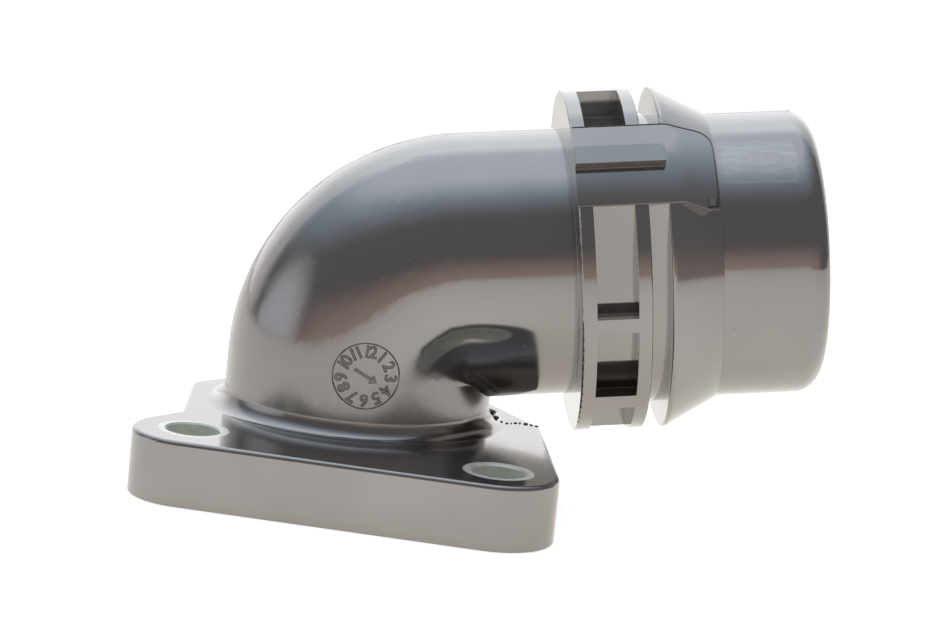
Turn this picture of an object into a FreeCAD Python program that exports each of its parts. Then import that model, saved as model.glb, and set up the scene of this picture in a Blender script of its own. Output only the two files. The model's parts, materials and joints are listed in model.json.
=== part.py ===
import FreeCAD, Part
import Sketcher

import math
import os

# Coolant flange with an angled outlet, in millimetres.
# +Z points away from the mating face, which lies at z = 0. The origin is the
# centre of the inlet in that face. The outlet leaves towards +X and rises.

DRIVING_SIZES = {
    # Base plate
    "plate_thickness": 11.4,
    "plate_edge_round": 0.8,
    "plate_foot_round": 0.5,
    "lobe_radius": 10.4,
    "back_lobe_radius": 8.6,
    "side_corner_radius": 2.3,
    "web_corner_offset": 3.9,
    "web_corner_rise": 3.7,
    "web_corner_round": 2.0,
    # Bolt places, from the centre of the inlet
    "bolt_left_x": -28.7,
    "bolt_left_y": -24.9,
    "bolt_right_x": 22.5,
    "bolt_right_y": -37.5,
    # Places behind, each a distance outside the seal groove and an angle from +X
    "back_bolt_wall": 2.15,
    "back_bolt_bearing": 79.6,
    "right_corner_reach": 4.1,
    "right_corner_bearing": -4.9,
    "left_corner_reach": 2.2,
    "left_corner_bearing": 157.5,
    # Compression sleeves
    "sleeve_outer_radius": 6.05,
    "sleeve_bore_radius": 4.6,
    "sleeve_chamfer": 0.3,
    # Leg, elbow and pipe
    "pipe_outer_radius": 23.4,
    "pipe_wall": 2.9,
    "bend_radius": 18.5,
    "bend_start_height": 20.6,
    "outlet_rise": 7.5,
    "leg_foot_fillet": 3.2,
    # Stations along the outlet axis, from the end of the elbow
    "ring_one_start": 18.3,
    "ring_one_width": 2.5,
    "pocket_width": 7.1,
    "ring_two_width": 2.4,
    "clip_groove_width": 3.4,
    "lip_land": 0.7,
    "cone_length": 9.35,
    "spigot_length": 18.9,
    "lead_in_radius": 4.2,
    # Radii about the outlet axis
    "collar_radius": 30.0,
    "collar_floor_radius": 25.4,
    "cone_foot_radius": 25.5,
    "spigot_radius": 25.0,
    "collar_edge_round": 0.35,
    # Webs between the two collar rings
    "spine_web_thickness": 2.2,
    "bar_thickness": 2.6,
    "inner_bar_height": 6.1,
    "outer_bar_height": 21.05,
    "floor_flat_lean": 4.0,
    # Key block over the collar, with its raised lug
    "block_side_offset": 15.4,
    "block_radius": 30.2,
    "block_length": 24.1,
    "block_shoulder_length": 16.2,
    "block_toe_radius": 28.3,
    "block_corner_round": 2.4,
    "block_underside_height": 14.3,
    "block_toe_drop": 1.8,
    "block_toe_length": 1.5,
    "block_drop_length": 4.4,
    "block_notch_length": 1.3,
    "block_notch_height": 1.5,
    "block_notch_depth": 0.9,
    "block_notch_margin": 0.4,
    "lug_angle": 45.3,
    "lug_width": 3.6,
    "lug_rise": 1.9,
    "lug_length": 15.4,
    "lug_corner_round": 1.2,
    # Seal and its groove in the mating face
    "seal_groove_inset": 2.1,
    "seal_groove_width": 4.0,
    "seal_groove_depth": 3.0,
    "seal_side_clearance": 0.3,
    "seal_recess": 0.2,
    "seal_corner_round": 0.8,
}

OVERLAP = 1.0
PIECES_FOLDER = "parts"

doc = FreeCAD.newDocument("coolant_flange")
sheet = doc.addObject("Spreadsheet::Sheet", "sizes")
for row, (alias, value) in enumerate(DRIVING_SIZES.items(), start=1):
    sheet.set(f"A{row}", alias.replace("_", " "))
    sheet.set(f"B{row}", str(value))
    sheet.setAlias(f"B{row}", alias)
doc.recompute()


def size(expression):
    """Value of an expression on the sheet's cells."""
    return float(sheet.evalExpression(expression))


def bind(item, **expressions):
    """Tie an object's properties to the sheet. A double underscore stands for a point."""
    for name, expression in expressions.items():
        item.setExpression(name.replace("__", "."), expression)
    return item


def primitive(kind, name, **expressions):
    return bind(doc.addObject(f"Part::{kind}", name), **expressions)


def along_x(item):
    """Turn a cylinder so that it runs along +X."""
    item.Placement.Rotation = FreeCAD.Rotation(FreeCAD.Vector(0, 1, 0), 90)
    return item


def boolean(kind, name, base, tool):
    item = doc.addObject(f"Part::{kind}", name)
    item.Base = base
    item.Tool = tool
    return item


def fuse(name, items):
    item = doc.addObject("Part::MultiFuse", name)
    item.Shapes = items
    return item


def find_edges(shape, test):
    return [number for number, edge in enumerate(shape.Edges, start=1) if test(edge)]


def round_edges(name, base, test, alias):
    """Fillet the edges of base that pass the test, with a radius from the sheet."""
    doc.recompute()
    item = doc.addObject("Part::Fillet", name)
    item.Base = base
    radius = size(f"sizes.{alias}")
    item.Edges = [(number, radius, radius) for number in find_edges(base.Shape, test)]
    return item


def is_circle(edge, radius, station=None, axis="x"):
    """Whether an edge is an arc of this radius, at this place along the axis."""
    curve = edge.Curve
    if not isinstance(curve, Part.Circle) or abs(curve.Radius - radius) > 1e-3:
        return False
    return station is None or abs(getattr(curve.Center, axis) - station) < 1e-3


def pin(sketch, geometry, point, x, y):
    """Fix a point of a sketch at two expressions. A zero lies on the sketch's own axis."""
    if x == "0" and y == "0":
        sketch.addConstraint(Sketcher.Constraint("Coincident", geometry, point, -1, 1))
        return
    for kind, expression, axis in (("DistanceX", x, -2), ("DistanceY", y, -1)):
        if expression == "0":
            sketch.addConstraint(Sketcher.Constraint("PointOnObject", geometry, point, axis))
        else:
            value = size(expression)
            index = sketch.addConstraint(Sketcher.Constraint(kind, -1, 1, geometry, point, value))
            sketch.setExpression(f"Constraints[{index}]", expression)


def datum(sketch, expression, kind, *geometry):
    """Add a dimension whose value comes from the sheet."""
    index = sketch.addConstraint(Sketcher.Constraint(kind, *geometry, size(expression)))
    sketch.setExpression(f"Constraints[{index}]", expression)


def draw_polygon(sketch, corners):
    """Closed outline of straight lines, each corner a pair of expressions."""
    points = [FreeCAD.Vector(size(x), size(y), 0) for x, y in corners]
    count = len(corners)
    for number in range(count):
        line = Part.LineSegment(points[number], points[(number + 1) % count])
        sketch.addGeometry(line, False)
    for number in range(count):
        following = (number + 1) % count
        sketch.addConstraint(Sketcher.Constraint("Coincident", number, 2, following, 1))
    for number, (x, y) in enumerate(corners):
        pin(sketch, number, 1, x, y)


def stand_upright(sketch):
    """Lay a sketch in the XZ plane."""
    sketch.Placement.Rotation = FreeCAD.Rotation(FreeCAD.Vector(1, 0, 0), 90)
    return sketch


def turned(name, corners, axis):
    """Solid of revolution of a closed outline drawn in the XZ plane."""
    sketch = stand_upright(doc.addObject("Sketcher::SketchObject", f"{name}_outline"))
    draw_polygon(sketch, corners)
    item = doc.addObject("Part::Revolution", name)
    item.Source = sketch
    item.Axis = axis
    item.Angle = 360
    item.Solid = True
    return item


# Base plate


def tangent_run(first, first_radius, second, second_radius):
    """Ends of the line that touches two circles on their outer side, going anticlockwise."""
    run = second - first
    along = FreeCAD.Vector(run).normalize()
    outward = FreeCAD.Vector(along.y, -along.x, 0)
    lean = (first_radius - second_radius) / run.Length
    normal = along * lean + outward * math.sqrt(1 - lean * lean)
    return first + normal * first_radius, second + normal * second_radius


def arc_between(centre, start, end):
    """Anticlockwise arc about a centre."""
    radius = (start - centre).Length
    circle = Part.Circle(centre, FreeCAD.Vector(0, 0, 1), radius)
    first = math.atan2(start.y - centre.y, start.x - centre.x)
    last = math.atan2(end.y - centre.y, end.x - centre.x)
    if last < first:
        last += 2 * math.pi
    return Part.ArcOfCircle(circle, first, last)


def outside_groove(distance, bearing):
    """Place at a distance outside the seal groove, in a direction from the inlet."""
    reach = f"({GROOVE_OUTER_RADIUS} + {distance})"
    return f"{reach} * cos({bearing} * 1 deg)", f"{reach} * sin({bearing} * 1 deg)"


WATERWAY_RADIUS = "sizes.pipe_outer_radius - sizes.pipe_wall"
GROOVE_INNER_RADIUS = f"{WATERWAY_RADIUS} + sizes.seal_groove_inset"
GROOVE_OUTER_RADIUS = f"{GROOVE_INNER_RADIUS} + sizes.seal_groove_width"

BOLT_PLACES = {
    "left": ("sizes.bolt_left_x", "sizes.bolt_left_y"),
    "right": ("sizes.bolt_right_x", "sizes.bolt_right_y"),
    "back": outside_groove(
        "sizes.back_bolt_wall + sizes.sleeve_outer_radius", "sizes.back_bolt_bearing"
    ),
}
RIGHT_CORNER = outside_groove("sizes.right_corner_reach", "sizes.right_corner_bearing")
LEFT_CORNER = outside_groove("sizes.left_corner_reach", "sizes.left_corner_bearing")

# Corners of the outline, anticlockwise: centre, radius, and whether the corner is hollow
PLATE_CORNERS = [
    (*BOLT_PLACES["left"], "sizes.lobe_radius", False),
    (*BOLT_PLACES["right"], "sizes.lobe_radius", False),
    (*RIGHT_CORNER, "sizes.side_corner_radius", False),
    (*BOLT_PLACES["back"], "sizes.back_lobe_radius", False),
    (*LEFT_CORNER, "sizes.side_corner_radius", False),
    (
        "sizes.bolt_left_x - sizes.web_corner_offset",
        "sizes.bolt_left_y + sizes.lobe_radius + sizes.web_corner_rise",
        "sizes.web_corner_round",
        True,
    ),
]


def draw_plate_outline(sketch):
    """Rounded corners joined by tangent lines. A hollow corner is rounded from outside."""
    centres = [FreeCAD.Vector(size(x), size(y), 0) for x, y, _, _ in PLATE_CORNERS]
    radii = [-size(radius) if hollow else size(radius) for _, _, radius, hollow in PLATE_CORNERS]
    count = len(PLATE_CORNERS)
    runs = []
    for number in range(count):
        following = (number + 1) % count
        runs.append(
            tangent_run(centres[number], radii[number], centres[following], radii[following])
        )
    for number, (_, _, _, hollow) in enumerate(PLATE_CORNERS):
        arrive, depart = runs[number - 1][1], runs[number][0]
        if hollow:
            arrive, depart = depart, arrive
        arc = arc_between(centres[number], arrive, depart)
        sketch.addGeometry([arc, Part.LineSegment(*runs[number])], False)
    for number, (x, y, radius, hollow) in enumerate(PLATE_CORNERS):
        arc = 2 * number
        line = arc + 1
        before = (arc - 1) % (2 * count)
        first, last = (2, 1) if hollow else (1, 2)
        sketch.addConstraint(Sketcher.Constraint("Tangent", before, 2, arc, first))
        sketch.addConstraint(Sketcher.Constraint("Tangent", arc, last, line, 1))
        pin(sketch, arc, 3, x, y)
        datum(sketch, radius, "Radius", arc)


plate_outline = doc.addObject("Sketcher::SketchObject", "plate_outline")
draw_plate_outline(plate_outline)
plate = doc.addObject("Part::Extrusion", "plate")
plate.Base = plate_outline
plate.DirMode = "Normal"
plate.Solid = True
bind(plate, LengthFwd="sizes.plate_thickness")
thickness = size("sizes.plate_thickness")
plate_rounded = round_edges(
    "plate_rounded", plate, lambda edge: edge.BoundBox.ZMin > thickness - 1e-3, "plate_edge_round"
)
plate_eased = round_edges(
    "plate_eased", plate_rounded, lambda edge: edge.BoundBox.ZMax < 1e-3, "plate_foot_round"
)

# Leg and elbow


def elbow(name, radius):
    """Bend of a round section. What lies past the bend axis belongs to the straight runs."""
    sketch = doc.addObject("Sketcher::SketchObject", f"{name}_section")
    bind(sketch, Placement__Base__z="sizes.bend_start_height")
    bend = size("sizes.bend_radius")
    if bend < size(radius):
        half_chord = math.sqrt(size(radius) ** 2 - bend**2)
        low = FreeCAD.Vector(bend, -half_chord, 0)
        high = FreeCAD.Vector(bend, half_chord, 0)
        sketch.addGeometry([arc_between(FreeCAD.Vector(), high, low), Part.LineSegment(low, high)], False)
        sketch.addConstraint(Sketcher.Constraint("Coincident", 0, 2, 1, 1))
        sketch.addConstraint(Sketcher.Constraint("Coincident", 1, 2, 0, 1))
        sketch.addConstraint(Sketcher.Constraint("Vertical", 1))
        datum(sketch, "sizes.bend_radius", "DistanceX", -1, 1, 1, 1)
    else:
        sketch.addGeometry(Part.Circle(FreeCAD.Vector(), FreeCAD.Vector(0, 0, 1), size(radius)), False)
    sketch.addConstraint(Sketcher.Constraint("Coincident", 0, 3, -1, 1))
    datum(sketch, radius, "Radius", 0)
    item = doc.addObject("Part::Revolution", name)
    item.Source = sketch
    item.Axis = FreeCAD.Vector(0, 1, 0)
    item.Solid = True
    bind(item, Base__x="sizes.bend_radius", Base__z="sizes.bend_start_height")
    bind(item, Angle="90 - sizes.outlet_rise")
    return item


leg = primitive("Cylinder", "leg", Radius="sizes.pipe_outer_radius", Height="sizes.bend_start_height")
footed_leg = fuse("footed_leg", [plate_eased, leg])
leg_radius = size("sizes.pipe_outer_radius")
filleted_leg = round_edges(
    "filleted_leg",
    footed_leg,
    lambda edge: is_circle(edge, leg_radius, thickness, "z"),
    "leg_foot_fillet",
)
bend = elbow("bend", "sizes.pipe_outer_radius")

# Outlet, built along +X from the end of the elbow and tilted into place at the end

RING_ONE_END = "sizes.ring_one_start + sizes.ring_one_width"
RING_TWO_START = f"{RING_ONE_END} + sizes.pocket_width"
RING_TWO_END = f"{RING_TWO_START} + sizes.ring_two_width"
LIP_START = f"{RING_TWO_END} + sizes.clip_groove_width"
CONE_END = f"{LIP_START} + sizes.cone_length"
SPIGOT_END = f"{CONE_END} + sizes.spigot_length"

outlet_turning = turned(
    "outlet_turning",
    [
        ("0", "0"),
        (SPIGOT_END, "0"),
        (SPIGOT_END, "sizes.spigot_radius"),
        (CONE_END, "sizes.spigot_radius"),
        (CONE_END, "sizes.cone_foot_radius"),
        (f"{LIP_START} + sizes.lip_land", "sizes.collar_radius"),
        (LIP_START, "sizes.collar_radius"),
        (LIP_START, "sizes.collar_floor_radius"),
        (RING_TWO_END, "sizes.collar_floor_radius"),
        (RING_TWO_END, "sizes.collar_radius"),
        (RING_TWO_START, "sizes.collar_radius"),
        (RING_TWO_START, "sizes.collar_floor_radius"),
        (RING_ONE_END, "sizes.collar_floor_radius"),
        (RING_ONE_END, "sizes.collar_radius"),
        ("sizes.ring_one_start", "sizes.collar_radius"),
        ("sizes.ring_one_start", "sizes.pipe_outer_radius"),
        ("0", "sizes.pipe_outer_radius"),
    ],
    FreeCAD.Vector(1, 0, 0),
)
spigot_radius = size("sizes.spigot_radius")
collar_radius = size("sizes.collar_radius")
spigot_end = size(SPIGOT_END)
outlet_led_in = round_edges(
    "outlet_led_in",
    outlet_turning,
    lambda edge: is_circle(edge, spigot_radius, spigot_end),
    "lead_in_radius",
)
crisp_stations = [size(RING_ONE_END), size(RING_TWO_START)]
outlet_rounded = round_edges(
    "outlet_rounded",
    outlet_led_in,
    lambda edge: is_circle(edge, collar_radius)
    and all(not is_circle(edge, collar_radius, station) for station in crisp_stations),
    "collar_edge_round",
)


def web_box(name, side, height, thickness_alias):
    """Web between the two collar rings, out to one side and square to the parting plane."""
    return primitive(
        "Box",
        name,
        Length=f"sizes.pocket_width + {2 * OVERLAP}",
        Width="sizes.collar_radius",
        Height=f"sizes.{thickness_alias}",
        Placement__Base__x=f"{RING_ONE_END} - {OVERLAP}",
        Placement__Base__y="0" if side == "far" else "-sizes.collar_radius",
        Placement__Base__z=f"{height} - sizes.{thickness_alias} / 2",
    )


spine_web = primitive(
    "Box",
    "spine_web",
    Length=f"sizes.pocket_width + {2 * OVERLAP}",
    Width="sizes.spine_web_thickness",
    Height="2 * sizes.collar_radius",
    Placement__Base__x=f"{RING_ONE_END} - {OVERLAP}",
    Placement__Base__y="-sizes.spine_web_thickness / 2",
    Placement__Base__z="-sizes.collar_radius",
)
bars = [
    web_box("near_inner_bar", "near", "-sizes.inner_bar_height", "bar_thickness"),
    web_box("near_outer_bar", "near", "-sizes.outer_bar_height", "bar_thickness"),
    web_box("far_low_inner_bar", "far", "-sizes.inner_bar_height", "bar_thickness"),
    web_box("far_low_outer_bar", "far", "-sizes.outer_bar_height", "bar_thickness"),
    web_box("far_high_inner_bar", "far", "sizes.inner_bar_height", "bar_thickness"),
    web_box("far_high_outer_bar", "far", "sizes.outer_bar_height", "bar_thickness"),
]
# Under the key block the floors of the pocket and of the clip groove rise as one flat
floor_flat = primitive(
    "Box",
    "floor_flat",
    Length=f"sizes.pocket_width + sizes.ring_two_width + sizes.clip_groove_width + {2 * OVERLAP}",
    Width="sizes.collar_floor_radius",
    Height=f"sizes.block_underside_height + {4 * OVERLAP}",
    Placement__Base__x=f"{RING_ONE_END} - {OVERLAP}",
    Placement__Base__y="-sizes.collar_floor_radius * cos(sizes.floor_flat_lean * 1 deg)",
    Placement__Base__z="-sizes.collar_floor_radius * sin(sizes.floor_flat_lean * 1 deg)",
)
floor_flat.Placement.Rotation = FreeCAD.Rotation(FreeCAD.Vector(1, 0, 0), size("sizes.floor_flat_lean"))
block_envelope = along_x(
    primitive("Cylinder", "block_envelope", Radius="sizes.block_radius", Height=CONE_END)
)
floor_rise = boolean("Common", "floor_rise", floor_flat, block_envelope)
web_boxes = fuse("web_boxes", [spine_web, *bars, floor_rise])
collar_envelope = along_x(
    primitive("Cylinder", "collar_envelope", Radius="sizes.collar_radius", Height=CONE_END)
)
collar_webs = boolean("Common", "collar_webs", web_boxes, collar_envelope)

# Key block: full collar height over the rings, then down to the spigot

BLOCK_END = "sizes.ring_one_start + sizes.block_length"
block_turning = turned(
    "block_turning",
    [
        ("sizes.ring_one_start", "0"),
        (BLOCK_END, "0"),
        (BLOCK_END, "sizes.block_toe_radius"),
        ("sizes.ring_one_start + sizes.block_shoulder_length", "sizes.block_radius"),
        ("sizes.ring_one_start", "sizes.block_radius"),
    ],
    FreeCAD.Vector(1, 0, 0),
)
block_side = stand_upright(doc.addObject("Sketcher::SketchObject", "block_side"))
bind(block_side, Placement__Base__y="-sizes.block_side_offset")
TOE_START = f"{BLOCK_END} - sizes.block_toe_length"
TOE_UNDERSIDE = "sizes.block_underside_height - sizes.block_toe_drop"
draw_polygon(
    block_side,
    [
        ("sizes.ring_one_start", "sizes.block_underside_height"),
        (f"{TOE_START} - sizes.block_drop_length", "sizes.block_underside_height"),
        (TOE_START, TOE_UNDERSIDE),
        (BLOCK_END, TOE_UNDERSIDE),
        (BLOCK_END, "sizes.block_radius"),
        ("sizes.ring_one_start", "sizes.block_radius"),
    ],
)
block_prism = doc.addObject("Part::Extrusion", "block_prism")
block_prism.Base = block_side
block_prism.DirMode = "Normal"
block_prism.Solid = True
bind(block_prism, LengthFwd="sizes.block_radius")
block_prism_rounded = round_edges(
    "block_prism_rounded",
    block_prism,
    lambda edge: edge.BoundBox.YMin > -size("sizes.block_side_offset") - 1e-3
    and edge.BoundBox.XMin > size(BLOCK_END) - 1e-3,
    "block_corner_round",
)
plain_block = boolean("Common", "plain_block", block_turning, block_prism_rounded)
block_notch = primitive(
    "Box",
    "block_notch",
    Length="sizes.block_notch_length",
    Width="sizes.block_radius",
    Height="sizes.block_notch_height",
    Placement__Base__x=f"{BLOCK_END} - sizes.block_notch_margin - sizes.block_notch_length",
    Placement__Base__y="-sizes.block_radius - sqrt(pow(sizes.block_toe_radius; 2)"
    f" - pow({TOE_UNDERSIDE}; 2)) + sizes.block_notch_depth",
    Placement__Base__z=f"{TOE_UNDERSIDE} + sizes.block_notch_margin",
)
key_block = boolean("Cut", "key_block", plain_block, block_notch)

lug_bar = primitive(
    "Box",
    "lug_bar",
    Length="sizes.lug_length",
    Width="sizes.lug_width",
    Height=f"sizes.lug_rise + {2 * OVERLAP}",
)
lug_rounded = round_edges(
    "lug_rounded",
    lug_bar,
    lambda edge: edge.BoundBox.XMin > size("sizes.lug_length") - 1e-3
    and edge.BoundBox.YMin > size("sizes.lug_width") - 1e-3,
    "lug_corner_round",
)
LUG_FOOT = f"(sizes.collar_radius - {2 * OVERLAP})"
lug_rounded.Placement.Rotation = FreeCAD.Rotation(FreeCAD.Vector(1, 0, 0), size("sizes.lug_angle"))
bind(
    lug_rounded,
    Placement__Base__x="sizes.ring_one_start",
    Placement__Base__y=f"-{LUG_FOOT} * sin(sizes.lug_angle * 1 deg)"
    " - sizes.lug_width / 2 * cos(sizes.lug_angle * 1 deg)",
    Placement__Base__z=f"{LUG_FOOT} * cos(sizes.lug_angle * 1 deg)"
    " - sizes.lug_width / 2 * sin(sizes.lug_angle * 1 deg)",
)
outlet = fuse("outlet", [outlet_rounded, collar_webs, key_block, lug_rounded])


def place_on_outlet(item, own_turn=0):
    """Move what was built along +X to the end of the elbow, along the rising outlet."""
    item.Placement.Rotation = FreeCAD.Rotation(FreeCAD.Vector(0, 1, 0), own_turn - size("sizes.outlet_rise"))
    return bind(
        item,
        Placement__Base__x="sizes.bend_radius * (1 - sin(sizes.outlet_rise * 1 deg))",
        Placement__Base__z="sizes.bend_start_height + sizes.bend_radius * cos(sizes.outlet_rise * 1 deg)",
    )


place_on_outlet(outlet)
solid_moulding = fuse("solid_moulding", [filleted_leg, bend, outlet])

# Waterway, seal groove and bolt holes

leg_bore = primitive(
    "Cylinder",
    "leg_bore",
    Radius=WATERWAY_RADIUS,
    Height=f"sizes.bend_start_height + {OVERLAP}",
    Placement__Base__z=f"-{OVERLAP}",
)
bend_bore = elbow("bend_bore", WATERWAY_RADIUS)
outlet_bore = primitive(
    "Cylinder",
    "outlet_bore",
    Radius=WATERWAY_RADIUS,
    Height=f"{SPIGOT_END} + {OVERLAP}",
)
place_on_outlet(outlet_bore, own_turn=90)

seal_groove = turned(
    "seal_groove",
    [
        (GROOVE_INNER_RADIUS, f"-{OVERLAP}"),
        (GROOVE_OUTER_RADIUS, f"-{OVERLAP}"),
        (GROOVE_OUTER_RADIUS, "sizes.seal_groove_depth"),
        (GROOVE_INNER_RADIUS, "sizes.seal_groove_depth"),
    ],
    FreeCAD.Vector(0, 0, 1),
)

bolt_holes = [
    primitive(
        "Cylinder",
        f"bolt_hole_{place}",
        Radius="sizes.sleeve_outer_radius",
        Height=f"sizes.plate_thickness + {2 * OVERLAP}",
        Placement__Base__x=x,
        Placement__Base__y=y,
        Placement__Base__z=f"-{OVERLAP}",
    )
    for place, (x, y) in BOLT_PLACES.items()
]
hollows = fuse("hollows", [leg_bore, bend_bore, outlet_bore, seal_groove, *bolt_holes])
flange_body = boolean("Cut", "flange_body", solid_moulding, hollows)

# Separate pieces: compression sleeves and seal


def turned_body(name, corners):
    """PartDesign body turned about its own vertical axis."""
    body = doc.addObject("PartDesign::Body", name)
    upright = next(item for item in body.Origin.OriginFeatures if item.Role == "XZ_Plane")
    sketch = body.newObject("Sketcher::SketchObject", f"{name}_section")
    sketch.AttachmentSupport = (upright, [""])
    sketch.MapMode = "FlatFace"
    draw_polygon(sketch, corners)
    turning = body.newObject("PartDesign::Revolution", f"{name}_turning")
    turning.Profile = sketch
    turning.ReferenceAxis = (sketch, ["V_Axis"])
    turning.Angle = 360
    body.Tip = turning
    return body


def bolt_sleeve(place, x, y):
    """Steel tube as long as the plate is thick, with its bore eased at both ends."""
    mouth = "sizes.sleeve_bore_radius + sizes.sleeve_chamfer"
    body = turned_body(
        f"bolt_sleeve_{place}",
        [
            (mouth, "0"),
            ("sizes.sleeve_outer_radius", "0"),
            ("sizes.sleeve_outer_radius", "sizes.plate_thickness"),
            (mouth, "sizes.plate_thickness"),
            ("sizes.sleeve_bore_radius", "sizes.plate_thickness - sizes.sleeve_chamfer"),
            ("sizes.sleeve_bore_radius", "sizes.sleeve_chamfer"),
        ],
    )
    return bind(body, Placement__Base__x=x, Placement__Base__y=y)


sleeves = [bolt_sleeve(place, x, y) for place, (x, y) in BOLT_PLACES.items()]

SEAL_INNER_RADIUS = f"{GROOVE_INNER_RADIUS} + sizes.seal_side_clearance"
SEAL_OUTER_RADIUS = f"{GROOVE_OUTER_RADIUS} - sizes.seal_side_clearance"
seal_ring = turned_body(
    "seal_ring",
    [
        (SEAL_INNER_RADIUS, "sizes.seal_recess"),
        (SEAL_OUTER_RADIUS, "sizes.seal_recess"),
        (SEAL_OUTER_RADIUS, "sizes.seal_groove_depth"),
        (SEAL_INNER_RADIUS, "sizes.seal_groove_depth"),
    ],
)
doc.recompute()
seal_turning = seal_ring.Tip
lip_edges = find_edges(
    seal_turning.Shape, lambda edge: edge.BoundBox.ZMax < size("sizes.seal_recess") + 1e-3
)
seal_rounding = seal_ring.newObject("PartDesign::Fillet", "seal_rounding")
seal_rounding.Base = (seal_turning, [f"Edge{number}" for number in lip_edges])
bind(seal_rounding, Radius="sizes.seal_corner_round")
seal_ring.Tip = seal_rounding

# Check and write the pieces

pieces = [flange_body, *sleeves, seal_ring]
doc.recompute()
for item in doc.Objects:
    if "Invalid" in item.State or "Error" in item.State:
        raise RuntimeError(f"{item.Label} is not computed: {item.State}")

os.makedirs(PIECES_FOLDER, exist_ok=True)
for piece in pieces:
    shape = piece.Shape
    if shape.isNull() or not shape.isValid() or len(shape.Solids) != 1:
        raise RuntimeError(f"{piece.Label} is not one valid solid")
    shape.exportStep(os.path.join(PIECES_FOLDER, f"{piece.Label}.step"))
    print(f"{piece.Label}: {shape.Volume:.1f} mm3, {len(shape.Faces)} faces")
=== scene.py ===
import json
import math

import bpy
from mathutils import Matrix, Vector

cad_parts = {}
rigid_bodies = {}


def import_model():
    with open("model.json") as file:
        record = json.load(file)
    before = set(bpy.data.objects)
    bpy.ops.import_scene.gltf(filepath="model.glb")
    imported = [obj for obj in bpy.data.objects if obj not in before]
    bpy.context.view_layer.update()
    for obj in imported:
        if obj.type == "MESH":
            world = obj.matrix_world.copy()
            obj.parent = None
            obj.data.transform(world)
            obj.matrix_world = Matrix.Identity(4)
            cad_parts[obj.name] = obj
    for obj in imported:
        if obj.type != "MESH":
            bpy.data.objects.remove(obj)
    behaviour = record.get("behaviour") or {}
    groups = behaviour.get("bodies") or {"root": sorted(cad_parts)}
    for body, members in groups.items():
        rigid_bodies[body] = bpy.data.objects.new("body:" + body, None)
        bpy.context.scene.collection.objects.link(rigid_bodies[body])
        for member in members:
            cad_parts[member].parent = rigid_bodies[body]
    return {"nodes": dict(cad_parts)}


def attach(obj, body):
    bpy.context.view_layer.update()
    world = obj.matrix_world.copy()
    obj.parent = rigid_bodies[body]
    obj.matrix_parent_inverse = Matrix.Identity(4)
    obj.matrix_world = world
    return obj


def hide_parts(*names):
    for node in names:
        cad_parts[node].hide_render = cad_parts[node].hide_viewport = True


# Nothing of the startup scene stays
for leftover in list(bpy.data.objects):
    bpy.data.objects.remove(leftover)

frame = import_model()

bl_info = {
    "name": "Coolant Flange",
    "version": (1, 0, 0),
    "blender": (4, 5, 0),
    "location": "View3D > Sidebar > Flange",
    "description": "Moulded coolant flange with an angled outlet, dressed on its packed solids",
    "category": "Object",
}

MM = 0.001
BODY = "flange_body"
SLEEVES = ("bolt_sleeve_left", "bolt_sleeve_right", "bolt_sleeve_back")
SEAL = "seal_ring"

# Elbow and outlet, as the solids have them
LEG_RADIUS = 23.4 * MM
PLATE_TOP = 11.4 * MM
FOOT_FILLET = 2.6 * MM
BEND_RADIUS = 18.5 * MM
BEND_START = 20.6 * MM
OUTLET_RISE = math.radians(7.5)
COLLAR_START = 18.3 * MM
SPIGOT_START = 43.75 * MM
SPIGOT_END = 62.65 * MM
SPIGOT_RADIUS = 25.0 * MM
LEAD_IN = 4.2 * MM
BLOCK_SIDE = -15.4 * MM
BLOCK_RADIUS = 30.2 * MM
BLOCK_TOE_RADIUS = 28.3 * MM
BLOCK_SHOULDER = 34.5 * MM
BLOCK_END = 42.4 * MM
BLOCK_ROUND = 2.4 * MM
NOTCH_ALONG = 41.35 * MM
NOTCH_ACROSS = 13.65 * MM
BEND_CENTRE = Vector((BEND_RADIUS, 0, BEND_START))
OUTLET_AXIS = Vector((math.cos(OUTLET_RISE), 0, math.sin(OUTLET_RISE)))
OUTLET_UP = Vector((-math.sin(OUTLET_RISE), 0, math.cos(OUTLET_RISE)))
OUTLET_START = BEND_CENTRE + BEND_RADIUS * OUTLET_UP

# Smooth copies of the solids
WELD = 0.002 * MM
SHARP_EDGE = math.radians(24)
FACE_WEIGHT = 90

# The camera's axes and place at the photograph's viewing angle
VIEW_RIGHT = Vector((0.9923709, -0.0719317, 0.1001287))
VIEW_UP = Vector((-0.0837395, 0.2028048, 0.9756321))
VIEW_BACK = Vector((-0.0904854, -0.9765736, 0.1952340))
VIEW_PLACE = Vector((-0.038670, -0.626310, 0.155099))
VIEW_DEPTH = 50

# Studio: the room's colours from low to high, and the table's glow from the middle outwards
CEILING = (
    (0.44, (0.132, 0.128, 0.132)),
    (0.500, (0.155, 0.160, 0.172)),
    (0.583, (0.218, 0.250, 0.300)),
    (0.633, (0.270, 0.325, 0.400)),
    (0.675, (0.340, 0.410, 0.500)),
    (0.729, (0.450, 0.535, 0.630)),
    (0.778, (0.600, 0.695, 0.800)),
    (0.833, (0.780, 0.885, 1.000)),
)
ROOM_LEVEL = 1.4
SIDE_TINT = (1, 1.03, 1.14)
WARM_FRONT = (0.30, 0.185, 0.145)
TABLE_GLOW = (
    (0.05, (1.0, 0.96, 0.88)),
    (0.10, (0.86, 0.82, 0.75)),
    (0.25, (0.72, 0.68, 0.62)),
    (0.60, (0.62, 0.56, 0.50)),
    (1.0, (0.40, 0.32, 0.28)),
)
TABLE_SIZE = 6
TABLE_REACH = 1.5
TABLE_DROP = 0.1 * MM
SOFTBOX_PLACE = (-0.1, -0.1, 1.1)


# Shader sums


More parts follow.
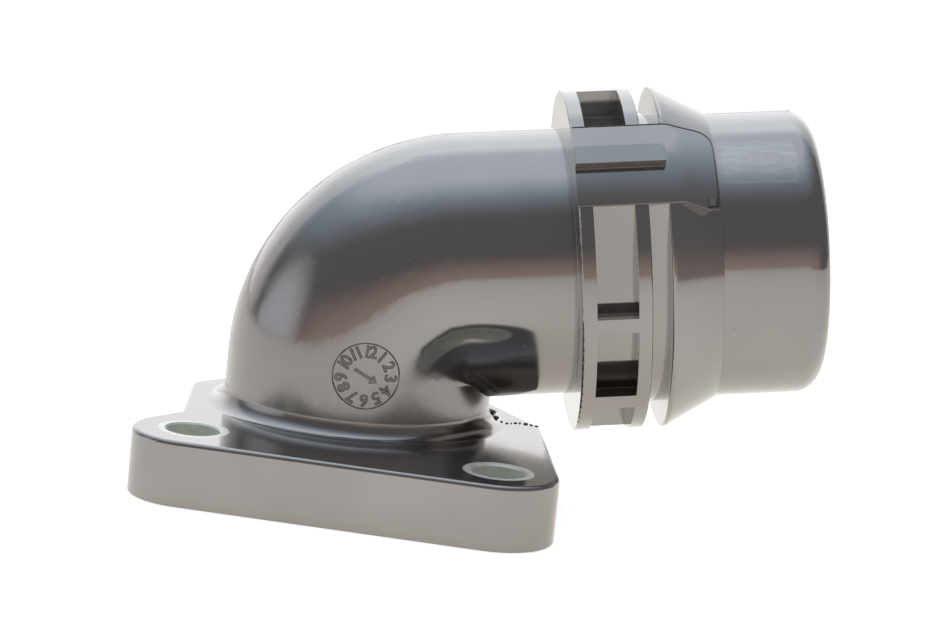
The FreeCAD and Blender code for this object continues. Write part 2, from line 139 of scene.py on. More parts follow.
class Wire:
    """A shader output that takes part in sums, each of which adds a Math node."""

    def __init__(self, graph, node, output=0):
        self.graph = graph
        self.node = node
        self.socket = node.outputs[output]

    def also(self, output):
        """Another output of the same node."""
        return Wire(self.graph, self.node, output)

    def math(self, operation, *values):
        return self.graph.add("ShaderNodeMath", {"operation": operation}, dict(enumerate(values)))

    def __add__(self, other):
        return self.math("ADD", self, other)

    __radd__ = __add__

    def __sub__(self, other):
        return self.math("SUBTRACT", self, other)

    def __rsub__(self, other):
        return self.math("SUBTRACT", other, self)

    def __mul__(self, other):
        return self.math("MULTIPLY", self, other)

    __rmul__ = __mul__

    def __truediv__(self, other):
        return self.math("DIVIDE", self, other)

    def __abs__(self):
        return self.math("ABSOLUTE", self)

    def higher(self, other):
        return self.math("MAXIMUM", self, other)


class Graph:
    """The nodes of one material or of the world."""

    def __init__(self, tree):
        self.tree = tree
        tree.nodes.clear()

    def add(self, kind, settings=None, inputs=None, output=0):
        """Add a node: its settings first, then the values or wires of its sockets."""
        made = self.tree.nodes.new(kind)
        for name, value in (settings or {}).items():
            if name == "stops":
                self.set_stops(made.color_ramp, value)
            else:
                setattr(made, name, value)
        for name, value in (inputs or {}).items():
            if isinstance(value, Wire):
                self.tree.links.new(value.socket, made.inputs[name])
            else:
                made.inputs[name].default_value = value
        return Wire(self, made, output) if made.outputs else made

    @staticmethod
    def set_stops(ramp, stops):
        while len(ramp.elements) < len(stops):
            ramp.elements.new(0.5)
        for element, (place, colour) in zip(ramp.elements, stops):
            element.position = place
            element.color = (*colour, 1)

    def step(self, value, start, end):
        """Smooth step from 0 at start to 1 at end."""
        return self.add(
            "ShaderNodeMapRange",
            {"interpolation_type": "SMOOTHSTEP"},
            {"Value": value, "From Min": start, "From Max": end},
        )

    def noise(self, vector, scale, detail, roughness):
        """Noise from 0 to 1 on a vector in metres."""
        return self.add(
            "ShaderNodeTexNoise",
            {"noise_dimensions": "3D"},
            {"Vector": vector, "Scale": scale, "Detail": detail, "Roughness": roughness},
        )

    def blend(self, share, first, second, way="MIX"):
        """Two colours, mixed by a share or put together in another way."""
        first, second = (
            colour if isinstance(colour, Wire) else (*colour, 1) for colour in (first, second)
        )
        return self.add(
            "ShaderNodeMix",
            {"data_type": "RGBA", "blend_type": way},
            {0: share, 6: first, 7: second},
            output=2,
        )

    def place(self):
        """Object coordinates, in metres."""
        return self.add("ShaderNodeTexCoord", output="Object")

    def parts(self, vector):
        """The three parts of a vector."""
        x = self.add("ShaderNodeSeparateXYZ", None, {"Vector": vector})
        return x, x.also("Y"), x.also("Z")

    def join(self, x, y, z):
        """A vector from its three parts."""
        return self.add("ShaderNodeCombineXYZ", None, {"X": x, "Y": y, "Z": z})

    def bump(self, height, distance, normal=None):
        """Bump on a normal. A height of 1 stands for a distance in metres."""
        inputs = {"Height": height, "Distance": distance}
        if normal is not None:
            inputs["Normal"] = normal
        return self.add("ShaderNodeBump", None, inputs)

    def surface(self, **inputs):
        """Principled surface. Names are written with underscores for spaces."""
        values = {name.replace("_", " "): value for name, value in inputs.items()}
        return self.add("ShaderNodeBsdfPrincipled", None, values)

    def finish(self, shader, kind="ShaderNodeOutputMaterial"):
        self.add(kind, None, {"Surface": shader})


def new_material(name):
    material = bpy.data.materials.new(name)
    material.use_nodes = True
    return material, Graph(material.node_tree)


# Finishes


def shade(colour, times):
    """A colour, darker or paler."""
    return tuple(part * times for part in colour)


def fold_patch(graph, where, y, along, across):
    """Share of the painted reflection on the spigot's near side: a pale ragged band that stands in
    for a bright light mirrored there.
    """
    bottom, top, end = 15.4 * MM, 21.2 * MM, SPIGOT_END - 6.0 * MM
    tear = graph.noise(graph.join(along * 0.16, y, across), scale=1100, detail=5, roughness=0.7)
    ragged = across + (tear - 0.5) * (4.5 * MM)
    torn_end = along + (graph.noise(where, scale=700, detail=3, roughness=0.6) - 0.5) * (2.0 * MM)
    inside = graph.step(ragged, bottom, bottom + 0.6 * MM)
    inside = inside * (1 - graph.step(ragged, top, top + 0.8 * MM))
    inside = inside * (1 - graph.step(torn_end, end, end + 0.8 * MM))
    near = graph.step(0 - y, 2 * MM, 6 * MM)
    broken_band = graph.step(tear, 0.42, 0.62)
    return inside * near * (broken_band * 0.65 + 0.35)


def leg_skin(graph, x, z):
    """Share of the duller skin low on the leg, which also takes painted shade: its colour is
    darkened there to stand in for a dark reflection.
    """
    above_plate = graph.step(z, PLATE_TOP + 0.3 * MM, PLATE_TOP + 3.5 * MM)
    below_bend = 1 - graph.step(z, 19 * MM, 31 * MM)
    short_of_pipe = 1 - graph.step(x, 24 * MM, 30 * MM)
    return above_plate * below_bend * short_of_pipe


def notch_grime(graph, y, along, across):
    """Share of the painted shade in the small notch of the key block, darkened as if shadow fell
    into it.
    """
    from_middle = abs(along - NOTCH_ALONG).higher(abs(across - NOTCH_ACROSS))
    in_notch = 1 - graph.step(from_middle, 0.7 * MM, 0.9 * MM)
    return in_notch * graph.step(0 - y, 20 * MM, 21 * MM)


def moulding_finish(finish):
    """Dark glass-filled plastic from a polished mould: high gloss, faint ripple and flow marks,
    with a painted reflection band on the spigot and painted shade on the low leg and in the notch.
    """
    material, graph = new_material("moulded_plastic")
    where = graph.place()
    x, y, z = graph.parts(where)
    along = (x - OUTLET_START.x) * OUTLET_AXIS.x + (z - OUTLET_START.z) * OUTLET_AXIS.z
    across = (x - OUTLET_START.x) * OUTLET_UP.x + (z - OUTLET_START.z) * OUTLET_UP.z
    on_spigot = graph.step(along, SPIGOT_START - 0.5 * MM, SPIGOT_START + 1.0 * MM)

    # The streaks are drawn out along the outlet, as the melt ran
    streaks = graph.noise(graph.join(along * 0.05, y, across), scale=1500, detail=3, roughness=0.6)
    ripple = graph.noise(where, scale=220, detail=1.5, roughness=0.45)
    grain = graph.noise(where, scale=2600, detail=2, roughness=0.6)
    height = (ripple - 0.5) * 0.9 + (grain - 0.5) * 0.05
    height = height + (streaks - 0.5) * (on_spigot * 0.35 + 0.03)
    edges = graph.add("ShaderNodeBevel", {"samples": 6}, {"Radius": finish.edge_round})

    tone = graph.step(graph.noise(where, scale=35, detail=3, roughness=0.5), 0.35, 0.7)
    worn = graph.step(graph.noise(where, scale=60, detail=4, roughness=0.62), 0.52, 0.74)
    specks = graph.step(graph.noise(where, scale=1500, detail=1.0, roughness=0.4), 0.80, 0.83)
    # Painted reflection: a pale band on the spigot's near side
    painted_reflection = fold_patch(graph, where, y, along, across) * on_spigot
    # The low leg is rougher, and its colour carries painted shade
    low_leg_dull_and_shaded = leg_skin(graph, x, z)
    drag = graph.noise(graph.join(x, y, z * 0.18), scale=1300, detail=4, roughness=0.7)

    dark = finish.plastic_colour
    colour = graph.blend(tone, dark, shade(dark, 1.12))
    # Painted shade: the low leg darkened in patches, standing in for a dark reflection
    colour = graph.blend(low_leg_dull_and_shaded * (drag * 0.5 + 0.4), colour, shade(dark, 0.80))
    # Painted shade: the notch darkened as if in shadow
    colour = graph.blend(notch_grime(graph, y, along, across) * 0.85, colour, shade(dark, 0.2))
    # Painted reflection band on the spigot made paler, together with the real pale specks of dust
    colour = graph.blend((painted_reflection * 0.38).higher(specks * 0.7), colour, shade(dark, 1.8))
    roughness = worn * 0.05 + (streaks - 0.5) * on_spigot * 0.06 + finish.plastic_roughness
    roughness = roughness + low_leg_dull_and_shaded * (drag * 0.10 + 0.05)
    shader = graph.surface(
        Base_Color=colour,
        Roughness=roughness + painted_reflection * 0.10 + specks * 0.3,
        Metallic=finish.plastic_mirror,
        Normal=graph.bump(height, finish.ripple_height, edges),
    )
    graph.finish(shader)
    return material


def mark_finish(finish):
    """Raised marks, flash and flecks, duller and darker than the polished wall. Made only once."""
    name = "dull_plastic"
    if name in bpy.data.materials:
        return bpy.data.materials[name]
    material, graph = new_material(name)
    grain = graph.noise(graph.place(), scale=4200, detail=2, roughness=0.6)
    dark, pale = (shade(finish.plastic_colour, times) for times in (0.42, 0.62))
    shader = graph.surface(
        Base_Color=graph.blend(graph.step(grain, 0.4, 0.65), dark, pale),
        Roughness=(grain - 0.5) * 0.2 + (finish.plastic_roughness + 0.16),
        Metallic=finish.plastic_mirror,
        Normal=graph.bump(grain, 0.006 * MM),
    )
    graph.finish(shader)
    return material


def zinc_finish(finish):
    """Turned steel under dull zinc plating."""
    material, graph = new_material("zinc_plated_steel")
    where = graph.place()
    x, y, z = graph.parts(where)
    turning = graph.noise(graph.join(x * 0.25, y * 0.25, z), scale=5200, detail=3, roughness=0.6)
    bloom = graph.noise(where, scale=900, detail=4, roughness=0.65)
    bright = finish.zinc_colour
    shader = graph.surface(
        Base_Color=graph.blend(graph.step(bloom, 0.35, 0.68), bright, shade(bright, 0.88)),
        Roughness=(bloom - 0.5) * 0.22 + (turning - 0.5) * 0.10 + finish.zinc_roughness,
        Metallic=0.20,
        Normal=graph.bump((turning - 0.5) * 0.8 + (bloom - 0.5) * 0.5, 0.010 * MM),
    )
    graph.finish(shader)
    return material


def rubber_finish(finish):
    """Moulded black rubber with a faint dusting of release powder."""
    material, graph = new_material("seal_rubber")
    where = graph.place()
    pores = graph.noise(where, scale=4200, detail=3, roughness=0.6)
    powder = graph.step(graph.noise(where, scale=420, detail=4, roughness=0.6), 0.52, 0.78)
    black = finish.rubber_colour
    shader = graph.surface(
        Base_Color=graph.blend(powder, black, shade(black, 2.4)),
        Roughness=powder * 0.18 + (pores - 0.5) * 0.1 + 0.52,
        Normal=graph.bump(pores, 0.02 * MM),
    )
    graph.finish(shader)
    return material


def dress(piece, material):
    """Give every material slot of a piece one finish."""
    if not piece.material_slots:
        piece.data.materials.append(material)
    for slot in piece.material_slots:
        slot.material = material


# Modelling helpers


def start_clean():
    if bpy.context.object and bpy.context.object.mode != "OBJECT":
        bpy.ops.object.mode_set(mode="OBJECT")
    bpy.ops.object.select_all(action="DESELECT")


def select_only(*items):
    start_clean()
    for item in items:
        item.select_set(True)
    bpy.context.view_layer.objects.active = items[0]


def edit_all():
    """Edit the active mesh with all of it selected."""
    bpy.ops.object.mode_set(mode="EDIT")
    bpy.ops.mesh.select_all(action="SELECT")


def leave_edit():
    bpy.ops.object.mode_set(mode="OBJECT")


def apply_modifiers(item):
    select_only(item)
    for name in [modifier.name for modifier in item.modifiers]:
        bpy.ops.object.modifier_apply(modifier=name)


def apply_place(item):
    """Put an object's place, turn and scale in its mesh."""
    select_only(item)
    bpy.ops.object.transform_apply(location=True, rotation=True, scale=True)


def as_mesh(item):
    """Turn a text or a curve into a mesh."""
    select_only(item)
    bpy.ops.object.convert(target="MESH")
    return bpy.context.object


def outline_face(outline):
    """One flat face with a given outline, in an object of its own."""
    bpy.ops.mesh.primitive_plane_add(size=1)
    item = bpy.context.object
    item.data.clear_geometry()
    item.data.from_pydata(outline, [], [tuple(range(len(outline)))])
    return item


def settle(item, name, smooth_angle):
    """Name a finished piece, put its place in its mesh, and let it ride on the object."""
    apply_place(item)
    bpy.ops.object.shade_smooth_by_angle(angle=math.radians(smooth_angle))
    item.name = name
    item.data.name = name
    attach(item, "root")


def smooth_copy(node, name, material):
    """Stand a welded copy of a solid in its place, so that its roundings mirror cleanly."""
    source = frame["nodes"][node]
    piece = bpy.data.objects.new(name, source.data.copy())
    bpy.context.scene.collection.objects.link(piece)
    select_only(piece)
    edit_all()
    bpy.ops.mesh.customdata_custom_splitnormals_clear()
    bpy.ops.mesh.remove_doubles(threshold=WELD)
    leave_edit()
    bpy.ops.object.shade_smooth_by_angle(angle=SHARP_EDGE)
    even = piece.modifiers.new("even", "WEIGHTED_NORMAL")
    even.mode = "FACE_AREA_WITH_ANGLE"
    even.weight = FACE_WEIGHT
    even.keep_sharp = True
    apply_modifiers(piece)
    dress(piece, material)
    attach(piece, "root")
    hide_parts(node)


# Studio


def look_from_photo(studio):
    """Camera at the photograph's viewing angle."""
    bpy.ops.object.camera_add()
    camera = bpy.context.object
    camera.name = "photo_camera"
    turn = Matrix((VIEW_RIGHT, VIEW_UP, VIEW_BACK)).transposed()
    camera.matrix_world = Matrix.Translation(VIEW_PLACE) @ turn.to_4x4()
    camera.data.sensor_width = 36
    camera.data.sensor_fit = "HORIZONTAL"
    camera.data.lens = studio.lens
    camera.data.clip_end = VIEW_DEPTH
    bpy.context.scene.camera = camera


def light_the_studio(studio):
    """Pale ceiling that fades towards the horizon, a white wall behind and a dim room in front."""
    world = bpy.data.worlds.new("studio_world")
    bpy.context.scene.world = world
    world.use_nodes = True
    graph = Graph(world.node_tree)
    x, y, z = graph.parts(graph.add("ShaderNodeTexCoord", output="Generated"))

    reach = (z + 0.35 * y - 0.14 * x) / 1.2
    ceiling = graph.add("ShaderNodeValToRGB", {"stops": CEILING}, {"Fac": reach})
    wall = graph.step(y, 0.45, 0.66) * 0.44 + graph.step(y, 0.66, 0.95) * 0.52
    side = graph.step(0 - x, 0.86, 0.99) * 0.52
    pale = graph.join(*(wall + side * part for part in SIDE_TINT))
    front = (1 - graph.step(z, 0.0, 0.34)) * graph.step(0 - y, 0.2, 0.8)
    warm = graph.join(*(front * part for part in WARM_FRONT))
    all_round = graph.blend(1.0, graph.blend(1.0, ceiling, pale, "ADD"), warm, "ADD")

    level = ROOM_LEVEL * studio.brightness
    room = graph.add("ShaderNodeBackground", None, {"Color": all_round, "Strength": level})
    white = graph.add("ShaderNodeBackground", None, {"Color": (1, 1, 1, 1), "Strength": 1.0})
    seen = graph.add("ShaderNodeLightPath", output="Is Camera Ray")
    shown = graph.add("ShaderNodeMixShader", None, {0: seen, 1: room, 2: white})
    graph.finish(shown, "ShaderNodeOutputWorld")


def lay_floor(studio):
    """White table. Its glow keeps it pale in the picture and in the gloss, and the shadow stays."""
    bpy.ops.mesh.primitive_plane_add(size=TABLE_SIZE, location=(0, 0, -TABLE_DROP))
    floor = bpy.context.object
    floor.name = "floor"
    material, graph = new_material("white_table")
    away = graph.add(
        "ShaderNodeVectorMath", {"operation": "LENGTH"}, {0: graph.place()}, output="Value"
    )
    glow = graph.add("ShaderNodeValToRGB", {"stops": TABLE_GLOW}, {"Fac": away / TABLE_REACH})
    matt = {"Roughness": 0.9, "Specular_IOR_Level": 0.1}
    in_light = graph.surface(Base_Color=(0.80, 0.78, 0.75, 1), **matt)
    in_gloss = graph.surface(
        Base_Color=(0.50, 0.48, 0.45, 1),
        Emission_Color=glow,
        Emission_Strength=studio.floor_glow,
        **matt,
    )
    in_view = graph.surface(
        Base_Color=(0.80, 0.80, 0.80, 1),
        Emission_Color=(1, 1, 1, 1),
        Emission_Strength=studio.floor_white,
        **matt,
    )
    seen = graph.add("ShaderNodeLightPath", output="Is Camera Ray")
    mirrored = seen.also("Is Glossy Ray").higher(seen.also("Is Transmission Ray"))
    unseen = graph.add("ShaderNodeMixShader", None, {0: mirrored, 1: in_light, 2: in_gloss})
    graph.finish(graph.add("ShaderNodeMixShader", None, {0: seen, 1: unseen, 2: in_view}))
    dress(floor, material)


def hang_softbox(studio):
    """One large soft lamp overhead, for a soft shadow."""
    bpy.ops.object.light_add(type="AREA", location=SOFTBOX_PLACE)
    lamp = bpy.context.object
    lamp.name = "softbox"
    lamp.data.shape = "SQUARE"
    lamp.data.size = studio.softbox_size
    lamp.data.energy = studio.softbox_power
    lamp.visible_glossy = False


# Sizes and colours that a user would change


class FlangeFinish(bpy.types.PropertyGroup):
    plastic_colour: bpy.props.FloatVectorProperty(
        name="Plastic", description="Colour of the moulded plastic", subtype="COLOR",
        size=3, min=0, max=1, default=(0.315, 0.300, 0.290),
    )
    plastic_roughness: bpy.props.FloatProperty(
        name="Plastic roughness", description="Roughness of the polished plastic",
        subtype="FACTOR", min=0, max=1, default=0.10,
    )
    plastic_mirror: bpy.props.FloatProperty(
        name="Plastic mirror", description="How much the plastic's sheen is like a dark mirror",
        subtype="FACTOR", min=0, max=1, default=0.84,
    )
    ripple_height: bpy.props.FloatProperty(
        name="Ripple", description="Height of the faint ripple in the moulded surface",
        subtype="DISTANCE", unit="LENGTH", precision=6, min=0, default=0.012 * MM,
    )
    edge_round: bpy.props.FloatProperty(
        name="Edge rounding", description="Radius of the fine rounding that the edges show",
        subtype="DISTANCE", unit="LENGTH", precision=6, min=0, default=0.14 * MM,
    )
    zinc_colour: bpy.props.FloatVectorProperty(
        name="Zinc", description="Colour of the zinc plating", subtype="COLOR",
        size=3, min=0, max=1, default=(0.86, 0.875, 0.79),
    )
    zinc_roughness: bpy.props.FloatProperty(
        name="Zinc roughness", description="Roughness of the zinc plating",
        subtype="FACTOR", min=0, max=1, default=0.34,
    )
    rubber_colour: bpy.props.FloatVectorProperty(
        name="Rubber", description="Colour of the seal", subtype="COLOR",
        size=3, min=0, max=1, default=(0.018, 0.018, 0.019),
    )


class FlangeDial(bpy.types.PropertyGroup):
    centre_x: bpy.props.FloatProperty(
        name="Centre, along", description="Place of the month dial along X",
        subtype="DISTANCE", unit="LENGTH", default=-0.3 * MM,
    )
    centre_z: bpy.props.FloatProperty(
        name="Centre, height", description="Height of the month dial above the mating face",
        subtype="DISTANCE", unit="LENGTH", default=22.65 * MM,
    )
    radius: bpy.props.FloatProperty(
        name="Radius", description="Radius of the dial's rim line",
        subtype="DISTANCE", unit="LENGTH", default=5.7 * MM,
    )
    digit_ring: bpy.props.FloatProperty(
        name="Digit ring", description="Radius on which the digits stand",
        subtype="DISTANCE", unit="LENGTH", default=4.15 * MM,
    )
    digit_height: bpy.props.FloatProperty(
        name="Digit height", description="Height of the month digits",
        subtype="DISTANCE", unit="LENGTH", default=2.1 * MM,
    )
    relief: bpy.props.FloatProperty(
        name="Relief", description="How far the marks stand out of the wall",
        subtype="DISTANCE", unit="LENGTH", default=0.13 * MM,
    )


class FlangeSeam(bpy.types.PropertyGroup):
    width: bpy.props.FloatProperty(
        name="Width", description="Width of the parting line", subtype="DISTANCE",
        unit="LENGTH", default=0.34 * MM,
    )
    height: bpy.props.FloatProperty(
        name="Height", description="How far the parting line stands out", subtype="DISTANCE",
        unit="LENGTH", default=0.03 * MM,
    )


class FlangeFlash(bpy.types.PropertyGroup):
    width: bpy.props.FloatProperty(
        name="Flash width", description="Width of the line of flash round the key block",
        subtype="DISTANCE", unit="LENGTH", default=0.24 * MM,
    )


class FlangeStudio(bpy.types.PropertyGroup):
    lens: bpy.props.FloatProperty(
        name="Lens", description="Focal length in millimetres", min=20, max=400, default=137.727,
    )
    brightness: bpy.props.FloatProperty(
        name="Brightness", description="Level of the room's light", min=0, max=3, default=1.0,
    )
    floor_white: bpy.props.FloatProperty(
        name="Floor white", description="Glow that keeps the table white in the picture",
        min=0, max=1, default=0.80,
    )
    floor_glow: bpy.props.FloatProperty(
        name="Floor in gloss", description="Glow of the table as the gloss mirrors it",
        min=0, max=2, default=0.88,
    )
    softbox_size: bpy.props.FloatProperty(
        name="Softbox", description="Side of the overhead softbox", subtype="DISTANCE",
        unit="LENGTH", min=0.1, default=0.9,
    )
    softbox_power: bpy.props.FloatProperty(
        name="Softbox power", description="Power of the overhead softbox", subtype="POWER",
        unit="POWER", min=0, default=1.0,
    )


# Operators


class FLANGE_OT_stage(bpy.types.Operator):
    """Add the camera, the white table and the soft studio light"""

    bl_idname = "flange.stage"
    bl_label = "Studio"

    def execute(self, context):
        studio = context.scene.flange_studio
        start_clean()
        look_from_photo(studio)
        light_the_studio(studio)
        lay_floor(studio)
        hang_softbox(studio)
        return {"FINISHED"}


class FLANGE_OT_moulding(bpy.types.Operator):
    """Add the moulding with its dark gloss"""

    bl_idname = "flange.moulding"
    bl_label = "Moulding"

    def execute(self, context):
        smooth_copy(BODY, "moulding", moulding_finish(context.scene.flange_finish))
        return {"FINISHED"}


class FLANGE_OT_sleeves(bpy.types.Operator):
    """Add the zinc-plated sleeves of the bolt holes"""

    bl_idname = "flange.sleeves"
    bl_label = "Sleeves"

    def execute(self, context):
        zinc = zinc_finish(context.scene.flange_finish)
        for node in SLEEVES:
            smooth_copy(node, node.replace("bolt_sleeve", "sleeve"), zinc)
        return {"FINISHED"}


class FLANGE_OT_seal(bpy.types.Operator):
    """Add the rubber seal in the mating face"""

    bl_idname = "flange.seal"
    bl_label = "Seal"

    def execute(self, context):
        smooth_copy(SEAL, "seal", rubber_finish(context.scene.flange_finish))
        return {"FINISHED"}


# Places of the numbers 1 to 12, in degrees clockwise from the top
MONTH_ANGLES = (35.3, 62.4, 91.7, 121.7, 150.7, 179.7, 208.7, 237.7, 263, 297.7, 331.7, 364.7)
# How high the digits stand in a text of size 1, and how close together
DIGIT_SHARE = 0.72
DIGIT_SPACING = 0.71
# How far the foot of each mark lies inside the wall
MARK_ROOT = 0.02 * MM
# The pointer's outline in millimetres, before it is turned
POINTER = (
    (-2.3, -0.33), (1.0, -0.33), (1.0, -0.95), (2.3, 0), (1.0, 0.95), (1.0, 0.33), (-2.3, 0.33),
)
POINTER_TURN = math.radians(-28.4)


def wall_front(x, z):
    """How far in front of the middle plane the leg's or the elbow's wall lies."""
    if z < BEND_START:
        from_middle = x
    else:
        from_middle = math.hypot(x - BEND_CENTRE.x, z - BEND_CENTRE.z) - BEND_RADIUS
    return math.sqrt(LEG_RADIUS ** 2 - from_middle ** 2)


class FLANGE_OT_month_dial(bpy.types.Operator):
    """Add the round month dial with its rim line, plain numbers and pointer"""

    bl_idname = "flange.month_dial"
    bl_label = "Month dial"

    def execute(self, context):
        dial = context.scene.flange_dial
        marks = [self.rim(dial), self.pointer(dial)]
        for month, angle in enumerate(MONTH_ANGLES, start=1):
            marks.append(self.number(dial, str(month), math.radians(angle)))
        select_only(*marks)
        bpy.ops.object.join()
        face = bpy.context.object
        edit_all()
        bpy.ops.mesh.remove_doubles(threshold=0.001 * MM)
        bpy.ops.mesh.normals_make_consistent(inside=False)
        leave_edit()
        # Wrap the flat marks on the round wall. Their own height becomes the relief
        for point in face.data.vertices:
            x = dial.centre_x + point.co.x
            z = dial.centre_z + point.co.y
            point.co = (x, -wall_front(x, z) - point.co.z + MARK_ROOT, z)
        dress(face, mark_finish(context.scene.flange_finish))
        settle(face, "month_dial", 20)
        return {"FINISHED"}

    def number(self, dial, text, angle):
        """One number, upright on the ring, with sloping sides."""
        bpy.ops.object.text_add()
        item = bpy.context.object
        item.data.body = text
        item.data.align_x = "CENTER"
        item.data.align_y = "CENTER"
        item.data.size = dial.digit_height / DIGIT_SHARE
        item.data.space_character = DIGIT_SPACING
        item.data.resolution_u = 4
        item.data.bevel_depth = dial.relief
        item.data.bevel_resolution = 0
        item = as_mesh(item)
        item.rotation_euler = (0, 0, -angle)
        item.location = (math.sin(angle) * dial.digit_ring, math.cos(angle) * dial.digit_ring, 0)
        apply_place(item)
        return item

    def rim(self, dial):
        """Low ridge of triangular section."""
        bpy.ops.mesh.primitive_torus_add(
            major_radius=dial.radius, minor_radius=dial.relief, major_segments=128, minor_segments=4
        )
        return bpy.context.object

    def pointer(self, dial):
        """A flat arrow across the middle, pointing down to the right, with sloping sides."""
        item = outline_face([(x * MM, y * MM, -dial.relief) for x, y in POINTER])
        edit_all()
        bpy.ops.mesh.extrude_region_move(TRANSFORM_OT_translate={"value": (0, 0, dial.relief)})
        bpy.ops.mesh.inset(thickness=dial.relief * 0.8, depth=dial.relief)
        leave_edit()
        item.rotation_euler = (0, 0, POINTER_TURN)
        apply_place(item)
        return item


# The parting line's foot inside the wall, and its top's share of its width
SEAM_ROOT = 0.1 * MM
SEAM_TOP = 0.35


class FLANGE_OT_parting_line(bpy.types.Operator):
    """Add the fine raised line where the two halves of the mould met"""

    bl_idname = "flange.parting_line"
    bl_label = "Parting line"

    def execute(self, context):
        seam = context.scene.flange_seam
        foot = PLATE_TOP + FOOT_FILLET
        over = self.strip(seam, Vector((-LEG_RADIUS, 0, foot)), Vector((-1, 0, 0)))
        self.extend(over, Vector((0, 0, BEND_START - foot)))
        self.swing(over)
        self.extend(over, OUTLET_AXIS * COLLAR_START)
        strips = [over]
        for outward in (OUTLET_UP, -OUTLET_UP):
            start = OUTLET_START + OUTLET_AXIS * SPIGOT_START + outward * SPIGOT_RADIUS
            strips.append(self.strip(seam, start, outward))
            self.extend(strips[-1], OUTLET_AXIS * (SPIGOT_END - SPIGOT_START - LEAD_IN))
        select_only(*strips)
        bpy.ops.object.join()
        line = bpy.context.object
        edit_all()
        bpy.ops.mesh.normals_make_consistent(inside=False)
        leave_edit()
        dress(line, bpy.data.objects["moulding"].material_slots[0].material)
        settle(line, "parting_line", 25)
        return {"FINISHED"}

    def strip(self, seam, start, outward):
        """Flat start face of a strip: a low ridge, sunk a little into the wall."""
        half = seam.width / 2
        section = [(-half, -SEAM_ROOT), (half, -SEAM_ROOT), (half, 0),
                   (half * SEAM_TOP, seam.height), (-half * SEAM_TOP, seam.height), (-half, 0)]
        item = outline_face(
            [start + outward * high + Vector((0, side, 0)) for side, high in section]
        )
        item["end"] = 0
        return item

    def pick_end(self, item):
        """Select the end face, which was made last."""
        for polygon in item.data.polygons:
            polygon.select = polygon.index == item["end"]
        bpy.ops.object.mode_set(mode="EDIT")
        bpy.ops.mesh.select_mode(type="FACE")

    def remember_end(self, item):
        """The end is the one selected face that has the whole section's corners."""
        leave_edit()
        item["end"] = next(p.index for p in item.data.polygons if p.select and len(p.vertices) == 6)

    def extend(self, item, run):
        """Draw the end face out in a straight run."""
        select_only(item)
        self.pick_end(item)
        bpy.ops.mesh.extrude_region_move(TRANSFORM_OT_translate={"value": run})
        self.remember_end(item)

    def swing(self, item):
        """Round the elbow, about the bend's own axis."""
        select_only(item)
        self.pick_end(item)
        bpy.ops.mesh.spin(
            steps=40, angle=OUTLET_RISE - math.radians(90), center=BEND_CENTRE, axis=(0, 1, 0)
        )
        self.remember_end(item)


# The flash line's points: along the block's side, as shares of its slope, as degrees round its
# corner, and as millimetres down its end
FLASH_SIDE = (COLLAR_START + 0.3 * MM, 26 * MM, BLOCK_SHOULDER)
FLASH_SLOPE = (0.25, 0.5, 0.75, 1.0)
FLASH_CORNER = (22.5, 45, 67.5, 90)
FLASH_END = (-19.2, -20.6, -22.0, -23.2, -24.4, -25.3)


class FLANGE_OT_flash_line(bpy.types.Operator):
    """Add the thin dark line of flash round the key block, where the slide of the mould met it"""

    bl_idname = "flange.flash_line"
    bl_label = "Flash line"

    def execute(self, context):
        flash = context.scene.flange_flash
        slope = BLOCK_END - BLOCK_ROUND - BLOCK_SHOULDER
        path = [(along, BLOCK_SIDE) for along in FLASH_SIDE]
        path += [(BLOCK_SHOULDER + share * slope, BLOCK_SIDE) for share in FLASH_SLOPE]
        for turn in map(math.radians, FLASH_CORNER):
            path.append((BLOCK_END - BLOCK_ROUND * (1 - math.sin(turn)),
                         BLOCK_SIDE - BLOCK_ROUND * (1 - math.cos(turn))))
        path += [(BLOCK_END, depth * MM) for depth in FLASH_END]
        bpy.ops.curve.primitive_nurbs_path_add()
        item = bpy.context.object
        item.data.splines.clear()
        spline = item.data.splines.new("POLY")
        spline.points.add(len(path) - 1)
        for point, (along, depth) in zip(spline.points, path):
            place = OUTLET_START + OUTLET_AXIS * along + OUTLET_UP * self.height(along, depth)
            point.co = (place.x, depth, place.z, 1)
        item.data.bevel_depth = flash.width / 2
        item.data.bevel_resolution = 1
        item.data.use_fill_caps = True
        item = as_mesh(item)
        dress(item, mark_finish(context.scene.flange_finish))
        settle(item, "flash_line", 50)
        return {"FINISHED"}

    @staticmethod
    def height(along, depth):
        """Height above the outlet's axis of the block's round face."""
        fall = max(0.0, (along - BLOCK_SHOULDER) / (BLOCK_END - BLOCK_SHOULDER))
        radius = BLOCK_RADIUS + (BLOCK_TOE_RADIUS - BLOCK_RADIUS) * fall
        return math.sqrt(radius ** 2 - depth ** 2)


# Place on the plate, length and width of each fleck, in millimetres
FLECKS = (
    (24.1, 2.2, 2.0, 2.2), (24.8, 0.2, 1.4, 1.5), (25.9, -0.9, 0.6, 0.4), (26.8, -1.4, 0.6, 0.4),
    (27.6, -1.2, 0.5, 0.3), (28.4, -0.7, 0.7, 0.3), (29.2, -0.5, 0.5, 0.4), (30.2, -0.8, 0.9, 0.25),
    (31.2, -1.3, 0.6, 0.25), (32.1, -1.7, 0.8, 0.25),
)
# The height above the mating face from which the plate is looked for under each fleck
FLECK_DROP = 16 * MM
# Flecks of this length or more lie along the outlet, and the others any way round
LONG_FLECK = 0.8
FLECK_ROUGHNESS = 0.07 * MM


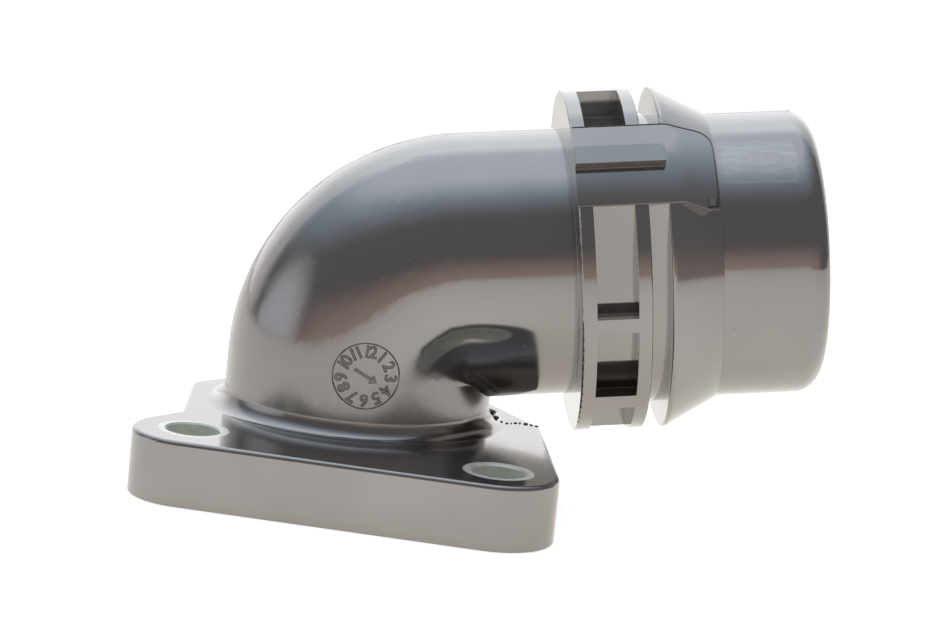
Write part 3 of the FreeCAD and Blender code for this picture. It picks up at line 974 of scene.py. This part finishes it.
class FLANGE_OT_flecks(bpy.types.Operator):
    """Add the small dark flecks of flash on the plate, beside the leg"""

    bl_idname = "flange.flecks"
    bl_label = "Flecks"

    def execute(self, context):
        moulding = bpy.data.objects["moulding"]
        made = []
        for count, (x, y, length, width) in enumerate(FLECKS):
            hit, place, *_ = moulding.ray_cast((x * MM, y * MM, FLECK_DROP), (0, 0, -1))
            if not hit:
                raise RuntimeError("a fleck has nothing under it")
            bpy.ops.mesh.primitive_ico_sphere_add(subdivisions=2, radius=0.5 * MM, location=place)
            fleck = bpy.context.object
            fleck.scale = (length, width, max(0.4, length * 0.55))
            fleck.rotation_euler.z = count * 1.9 if length < LONG_FLECK else -0.1
            edit_all()
            bpy.ops.transform.vertex_random(
                offset=FLECK_ROUGHNESS, uniform=0.6, normal=0.4, seed=count
            )
            leave_edit()
            made.append(fleck)
        select_only(*made)
        bpy.ops.object.join()
        flecks = bpy.context.object
        dress(flecks, mark_finish(context.scene.flange_finish))
        settle(flecks, "flash_flecks", 30)
        return {"FINISHED"}


# Panel and registration


class FLANGE_PT_sidebar(bpy.types.Panel):
    """Sizes, colours and steps of the coolant flange"""

    bl_idname = "FLANGE_PT_sidebar"
    bl_label = "Coolant Flange"
    bl_space_type = "VIEW_3D"
    bl_region_type = "UI"
    bl_category = "Flange"

    def draw(self, context):
        layout = self.layout
        for place, (title, _) in GROUPS.items():
            group = getattr(context.scene, place)
            box = layout.box()
            box.label(text=title)
            for name in group.__annotations__:
                box.prop(group, name)
        for step in STEPS:
            layout.operator(step.bl_idname)


# Where each group is kept on the scene, its title in the panel, and its class
GROUPS = {
    "flange_finish": ("Finish", FlangeFinish),
    "flange_dial": ("Month dial", FlangeDial),
    "flange_seam": ("Parting line", FlangeSeam),
    "flange_flash": ("Flash", FlangeFlash),
    "flange_studio": ("Studio", FlangeStudio),
}
STEPS = (
    FLANGE_OT_stage,
    FLANGE_OT_moulding,
    FLANGE_OT_sleeves,
    FLANGE_OT_seal,
    FLANGE_OT_month_dial,
    FLANGE_OT_parting_line,
    FLANGE_OT_flash_line,
    FLANGE_OT_flecks,
)


def register():
    for place, (_, group) in GROUPS.items():
        bpy.utils.register_class(group)
        setattr(bpy.types.Scene, place, bpy.props.PointerProperty(type=group))
    for step in (*STEPS, FLANGE_PT_sidebar):
        bpy.utils.register_class(step)


def unregister():
    for step in reversed((*STEPS, FLANGE_PT_sidebar)):
        bpy.utils.unregister_class(step)
    for place, (_, group) in reversed(GROUPS.items()):
        delattr(bpy.types.Scene, place)
        bpy.utils.unregister_class(group)


def main():
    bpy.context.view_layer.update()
    register()
    bpy.context.scene.view_settings.view_transform = "Standard"
    bpy.ops.flange.stage()
    bpy.ops.flange.moulding()
    bpy.ops.flange.sleeves()
    bpy.ops.flange.seal()
    bpy.ops.flange.month_dial()
    bpy.ops.flange.parting_line()
    bpy.ops.flange.flash_line()
    bpy.ops.flange.flecks()


if __name__ == "__main__":
    main()
